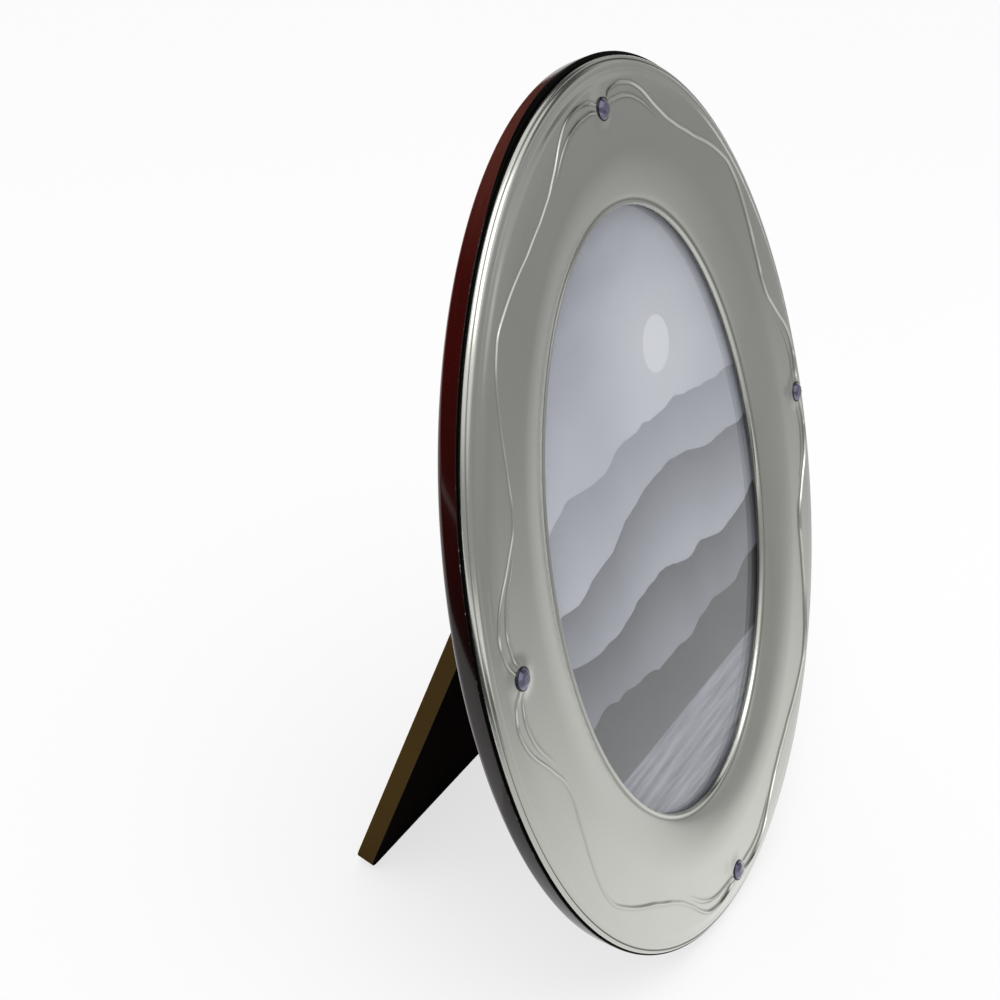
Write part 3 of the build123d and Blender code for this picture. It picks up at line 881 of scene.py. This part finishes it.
def press_ribbon(inset, angle, outer, inner, twin):
    """Relief of the ribbon, the shoulder and the mounds, with patina and painted shade beside the lines."""
    x, y = oval_points(inset, angle)
    from_side = np.hypot(np.abs(x) - (HALF_W / MM - STONE_INSET), y)
    from_end = np.hypot(x, np.abs(y) - (HALF_H / MM - STONE_INSET))
    nearest = np.minimum(from_side, from_end)
    clear = np.clip((nearest - SEAT_RADIUS) / (SEAT_CLEAR - SEAT_RADIUS), 0, 1)
    past_rim = np.clip((inset - NEUTRAL[0]) / SHOULDER_FADE, 0, 1)
    off_line = inset - outer
    off_twin = inset - inner
    shoulder = SHOULDER_RISE / (1 + np.exp(off_line / SHOULDER_EDGE)) * past_rim
    lines = LINE_RISE * bell(off_line, LINE_WIDTH) + twin * TWIN_RISE * bell(off_twin, LINE_WIDTH)
    mound = MOUND_RISE * np.exp(-((nearest / MOUND_REACH) ** 4))
    # Strips beside the lines are darkened: patina and painted shade of the lines' steps.
    patina_and_shade = (LINE_PATINA_AND_SHADE + PAIRED_PATINA_AND_SHADE * twin) * bell(np.abs(off_line) - STRIP_OFF, STRIP_WIDTH)
    patina_and_shade += TWIN_PATINA_AND_SHADE * twin * bell(np.abs(off_twin) - STRIP_OFF, STRIP_WIDTH)
    return (shoulder + lines) * clear + mound, patina_and_shade * clear


def emboss(mesh, rings):
    """Wrap the flat unit grid round the oval and press it to the front's shape; return the patina and painted
    shade.
    """
    co = np.empty(len(mesh.vertices) * 3)
    mesh.vertices.foreach_get("co", co)
    co = co.reshape(-1, 3)
    neutral = rings[np.round((co[:, 1] + 0.5) * (len(rings) - 1)).astype(int)]
    angle = (co[:, 0] + 0.5) * 2 * math.pi
    quarter = quarter_angle(angle)
    outer = smooth_table(quarter, WAVE)
    inner = outer + smooth_table(quarter, BAND)
    inset = bend_rings(neutral, outer, inner)
    relief, patina_and_shade = press_ribbon(inset, angle, outer, inner, smooth_table(quarter, TWIN))
    level = front_level(inset) + np.where(on_field(neutral), relief, 0)
    patina_and_shade = np.where(on_field(neutral), patina_and_shade, 0)
    # Grooves and the hidden side, inner wall included, are darkened: patina and painted shade.
    for groove, width, depth in GROOVE_PATINA_AND_SHADE:
        patina_and_shade += depth * bell(neutral - groove, width)
    patina_and_shade += np.where(neutral > BORDER, HIDDEN_PATINA_AND_WALL_SHADE, 0)
    inset, co[:, 2] = close_sheet(neutral, inset, level)
    co[:, 0], co[:, 1] = oval_points(inset, angle)
    mesh.vertices.foreach_set("co", (co * MM).ravel())
    return np.clip(patina_and_shade, 0, 1)


def make_silver_front():
    rings = ring_parameters()
    flat = bmesh.new()
    bmesh.ops.create_grid(flat, x_segments=RING_STEPS, y_segments=len(rings) - 1, size=0.5)
    mesh = bpy.data.meshes.new("silver_sheet")
    flat.to_mesh(mesh)
    flat.free()
    patina_and_shade = emboss(mesh, rings)
    attribute = mesh.attributes.new("patina_and_shade", "FLOAT", "POINT")
    attribute.data.foreach_set("value", patina_and_shade.astype(np.float32))
    bm = bmesh.new()
    bm.from_mesh(mesh)
    bpy.data.meshes.remove(mesh)
    bmesh.ops.remove_doubles(bm, verts=bm.verts, dist=1e-6)
    return finish_piece("silver_sheet", bm, FACE, "frame", silver, "silver_front", math.radians(50))


silver_sheet = make_silver_front()

# %% [markdown]
# ## The wooden ring
# The real ring is turned and lacquered. Its side slopes in towards the back, with a small round in front
# and a broad one behind, so a section of four corners is spun and the two outer corners are bevelled. The
# foot is drawn down to reach the table and the head up a little. Then the leaning ring is cut level with
# the table, which leaves the narrow flat it stands on. A wear attribute marks the front corner.

# %% Wooden ring
WOOD_OUT = -0.5
WOOD_BACK_IN = 1.2
WOOD_FRONT = -2.1
WOOD_BACK = -9.3
REBATE = 34.5
FRONT_ROUND = 0.4
BACK_ROUND = 2.6
FOOT_DROP = 1.35
HEAD_RISE = 0.8
WORN_SPAN = (0.1, 0.8)
SPIN_STEPS = 360
UPRIGHT = Matrix.Identity(4)


def ring_edges(bm, inset, level):
    """Edges of the round ring at an inset and level, in millimetres."""
    def near(vert):
        off = math.hypot(vert.co.x, vert.co.y) - (HALF_W - inset * MM)
        return abs(off) < 1e-5 and abs(vert.co.z - level * MM) < 1e-5

    return [e for e in bm.edges if near(e.verts[0]) and near(e.verts[1])]


def draw_foot_and_head(bm):
    """Lengthen the oval ring a little at both ends."""
    for vert in bm.verts:
        height = vert.co.y / (HALF_H + 1 * MM)
        vert.co.y += HEAD_RISE * MM * max(0, height) ** 6 - FOOT_DROP * MM * max(0, -height) ** 12


def make_wood():
    bm = bmesh.new()
    corners = [(WOOD_OUT, WOOD_FRONT), (REBATE, WOOD_FRONT), (REBATE, WOOD_BACK), (WOOD_BACK_IN, WOOD_BACK)]
    spin_section(bm, from_insets(corners), SPIN_STEPS)
    soften(bm, ring_edges(bm, WOOD_OUT, WOOD_FRONT), FRONT_ROUND, 4)
    soften(bm, ring_edges(bm, WOOD_BACK_IN, WOOD_BACK), BACK_ROUND, 9)
    wear = bm.verts.layers.float.new("wear")
    for vert in bm.verts:
        drop = (WOOD_FRONT * MM - vert.co.z) / (FRONT_ROUND * MM)
        vert[wear] = 1.0 if WORN_SPAN[0] < drop < WORN_SPAN[1] else 0.0
    stretch_to_oval(bm)
    draw_foot_and_head(bm)
    bm.transform(FACE)
    cut_off(bm, (0, 0, 0), (0, 0, -1))
    return finish_piece("lacquered_ring", bm, UPRIGHT, "frame", lacquer, "wood_ring", math.radians(60))


lacquered_ring = make_wood()

# %% [markdown]
# ## The black core and the pane
# The core fills the hollow under the silver and shows as a thin black line under the rim, so it is spun
# from a section that follows the sheet's underside. The pane is a disc stretched to the oval, given its
# thickness and a narrow bevel. Light would reach the print only by way of bright specks bent through the
# pane, which a renderer finds slowly, so the pane lets shadow and diffuse rays pass straight through.

# %% Core and pane
CORE_SECTION = [
    (0.3, -2.1), (0.3, -0.95), (2.5, -0.75), (4.7, 0.2), (8.0, 0.9), (18.8, 2.0), (23.0, 2.1), (29.0, 1.35),
    (34.2, -0.05), (36.5, -1.0), (37.75, -1.3), (37.75, -2.1),
]
PANE_FRONT = 1.0
PANE_BACK = -0.88
PANE_BEVEL = 0.15
PANE_STEPS = 240


def make_core():
    bm = bmesh.new()
    spin_section(bm, from_insets(CORE_SECTION), SPIN_STEPS)
    stretch_to_oval(bm)
    return finish_piece("core_ring", bm, FACE, "frame", black_core, "resin_core")


def make_pane():
    bm = bmesh.new()
    half = (glass_high.x - glass_low.x) / 2
    back = Matrix.Translation((0, 0, GLASS_MIDDLE + PANE_BACK * MM))
    bmesh.ops.create_circle(bm, cap_ends=True, segments=PANE_STEPS, radius=half, matrix=back)
    stretch_to_oval(bm)
    thicken(bm, PANE_FRONT - PANE_BACK)
    corners = [e for e in bm.edges if abs(e.verts[0].co.z - e.verts[1].co.z) < 1e-6]
    soften(bm, corners, PANE_BEVEL, 1)
    piece = finish_piece("clear_pane", bm, FACE, "frame", glass, "glass_pane")
    piece.visible_shadow = False
    piece.visible_diffuse = False
    return piece


make_core()
make_pane()

# %% [markdown]
# ## Stones and bezels
# A cut stone is the convex hull of a few rings of points: a table, a ring of crown corners turned by half a
# step, and the girdle. The hull operator finds the facets by itself. A ring is written as its number of
# corners, radius, level and turn. The bezel is a spun collar whose lip is rolled in over the girdle.

# %% Stones and bezels
STONE_RINGS = [(8, 1.3, 4.1, 0.0), (8, 2.05, 3.85, 0.5), (16, 2.75, 3.15, 0.0), (16, 2.75, 1.1, 0.0)]
FACET_SHARP = 0.02
BEZEL_SECTION = [
    (3.1, 0.7), (3.1, 2.9), (3.04, 3.08), (2.92, 3.16), (2.8, 3.14), (2.7, 3.02), (2.68, 1.1),
    (0.2, 1.1), (0.2, 0.7),
]
BEZEL_STEPS = 48
SIDES = {"right": (1, 0), "top": (0, 1), "left": (-1, 0), "bottom": (0, -1)}


def stone_place(side):
    """The matrix that sets a stone upright on its place in the leaning face."""
    x, y = SIDES[side]
    return FACE @ Matrix.Translation((x * (HALF_W - STONE_INSET * MM), y * (HALF_H - STONE_INSET * MM), 0))


def make_stone(side):
    bm = bmesh.new()
    for count, radius, level, turn in STONE_RINGS:
        step = 2 * math.pi / count
        spot = Matrix.Translation((0, 0, level * MM)) @ Matrix.Rotation(turn * step, 4, "Z")
        bmesh.ops.create_circle(bm, segments=count, radius=radius * MM, matrix=spot)
    bmesh.ops.convex_hull(bm, input=bm.verts[:])
    loose = [e for e in bm.edges if not e.link_faces]
    bmesh.ops.delete(bm, geom=loose, context="EDGES")
    place = stone_place(side)
    return finish_piece(f"cut_stone_{side}", bm, place, "frame", crystal, f"stone_{side}", FACET_SHARP)


def make_bezel(side):
    bm = bmesh.new()
    spin_section(bm, [(radius * MM, level * MM) for radius, level in BEZEL_SECTION], BEZEL_STEPS)
    return finish_piece(f"collar_{side}", bm, stone_place(side), "frame", dark_silver, f"bezel_{side}")


for side in SIDES:
    make_stone(side)
    make_bezel(side)

# %% [markdown]
# ## The strut
# The strut is a tapered board with a notch at the top for its hinge and two ears whose ends are bevelled,
# so that the open board stops flat against the back. It is drawn flat in its own plane from the hinge pin
# down, with rounded foot corners, given its thickness, and cut by the stop plane. The broad sides are
# dark paint, made near black in part as painted shade, and the cut edges are raw, so faces choose their
# finish by which way they look.

# %% Strut
STRUT_OPEN = math.radians(32.6)
STRUT_LENGTH = 159.6
STRUT_THICK = 5.5
STRUT_FACE = 0.5
STRUT_FOOT_HALF = 41.5
STRUT_TAPER = math.radians(2)
STRUT_RISE = 30.0
STRUT_FOOT_ROUND = 5.0
NOTCH_HALF = 21.0
NOTCH_DEPTH = 2.6
STOP_GAP = 0.05
BROADSIDE = 0.9

pin_low, pin_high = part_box("hinge_pin")
pin_middle = Matrix.Translation((pin_low + pin_high) / 2)
strut_plane = pin_middle @ face_turn @ Matrix.Rotation(math.pi + STRUT_OPEN, 4, "X")


def strut_outline():
    """Corners of the flat board, from one foot corner round the notch to the other, in millimetres."""
    top_half = STRUT_FOOT_HALF - (STRUT_LENGTH + STRUT_RISE) * math.tan(STRUT_TAPER)
    half = [
        (STRUT_FOOT_HALF, STRUT_LENGTH), (top_half, -STRUT_RISE), (NOTCH_HALF, -STRUT_RISE),
        (NOTCH_HALF, NOTCH_DEPTH),
    ]
    return half + [(-x, y) for x, y in reversed(half)]


def make_strut():
    bm = bmesh.new()
    verts = [bm.verts.new((x * MM, y * MM, STRUT_FACE * MM)) for x, y in strut_outline()]
    bm.faces.new(verts)
    soften(bm, [verts[0], verts[-1]], STRUT_FOOT_ROUND, 8, affect="VERTICES")
    thicken(bm, STRUT_THICK)
    bm.transform(strut_plane)
    cut_off(bm, FACE @ Vector((0, 0, (WOOD_BACK - STOP_GAP) * MM)), face_out)
    piece = finish_piece("strut_board", bm, UPRIGHT, "strut", board_in_painted_shade, "strut", math.radians(30))
    piece.data.materials.append(raw_edge)
    broad = (strut_plane.to_3x3() @ Vector((0, 0, 1))).normalized()
    for polygon in piece.data.polygons:
        polygon.material_index = 0 if abs(polygon.normal.dot(broad)) > BROADSIDE else 1
    return piece


strut_board = make_strut()

# %% [markdown]
# ## Finishes for the pieces that stay as they are
# The print, the card, the panel and the small brass fittings already have their true shape, so they only
# need their finish.

# %% Dress the remaining nodes
DRESS = {"picture_print": landscape, "backing_card": grey_card, "back_panel": back_board}
for fitting in ("leaf_strut", "leaf_panel", "pin", "screws_strut", "screws_panel"):
    DRESS[f"hinge_{fitting}"] = brass
for fitting in ("screws", 1, 2, 3, 4):
    DRESS[f"turn_button_{fitting}"] = brass

for name, material in DRESS.items():
    mesh = nodes[name].data
    mesh.materials.clear()
    mesh.materials.append(material)
print("dressed", len(DRESS), "nodes")
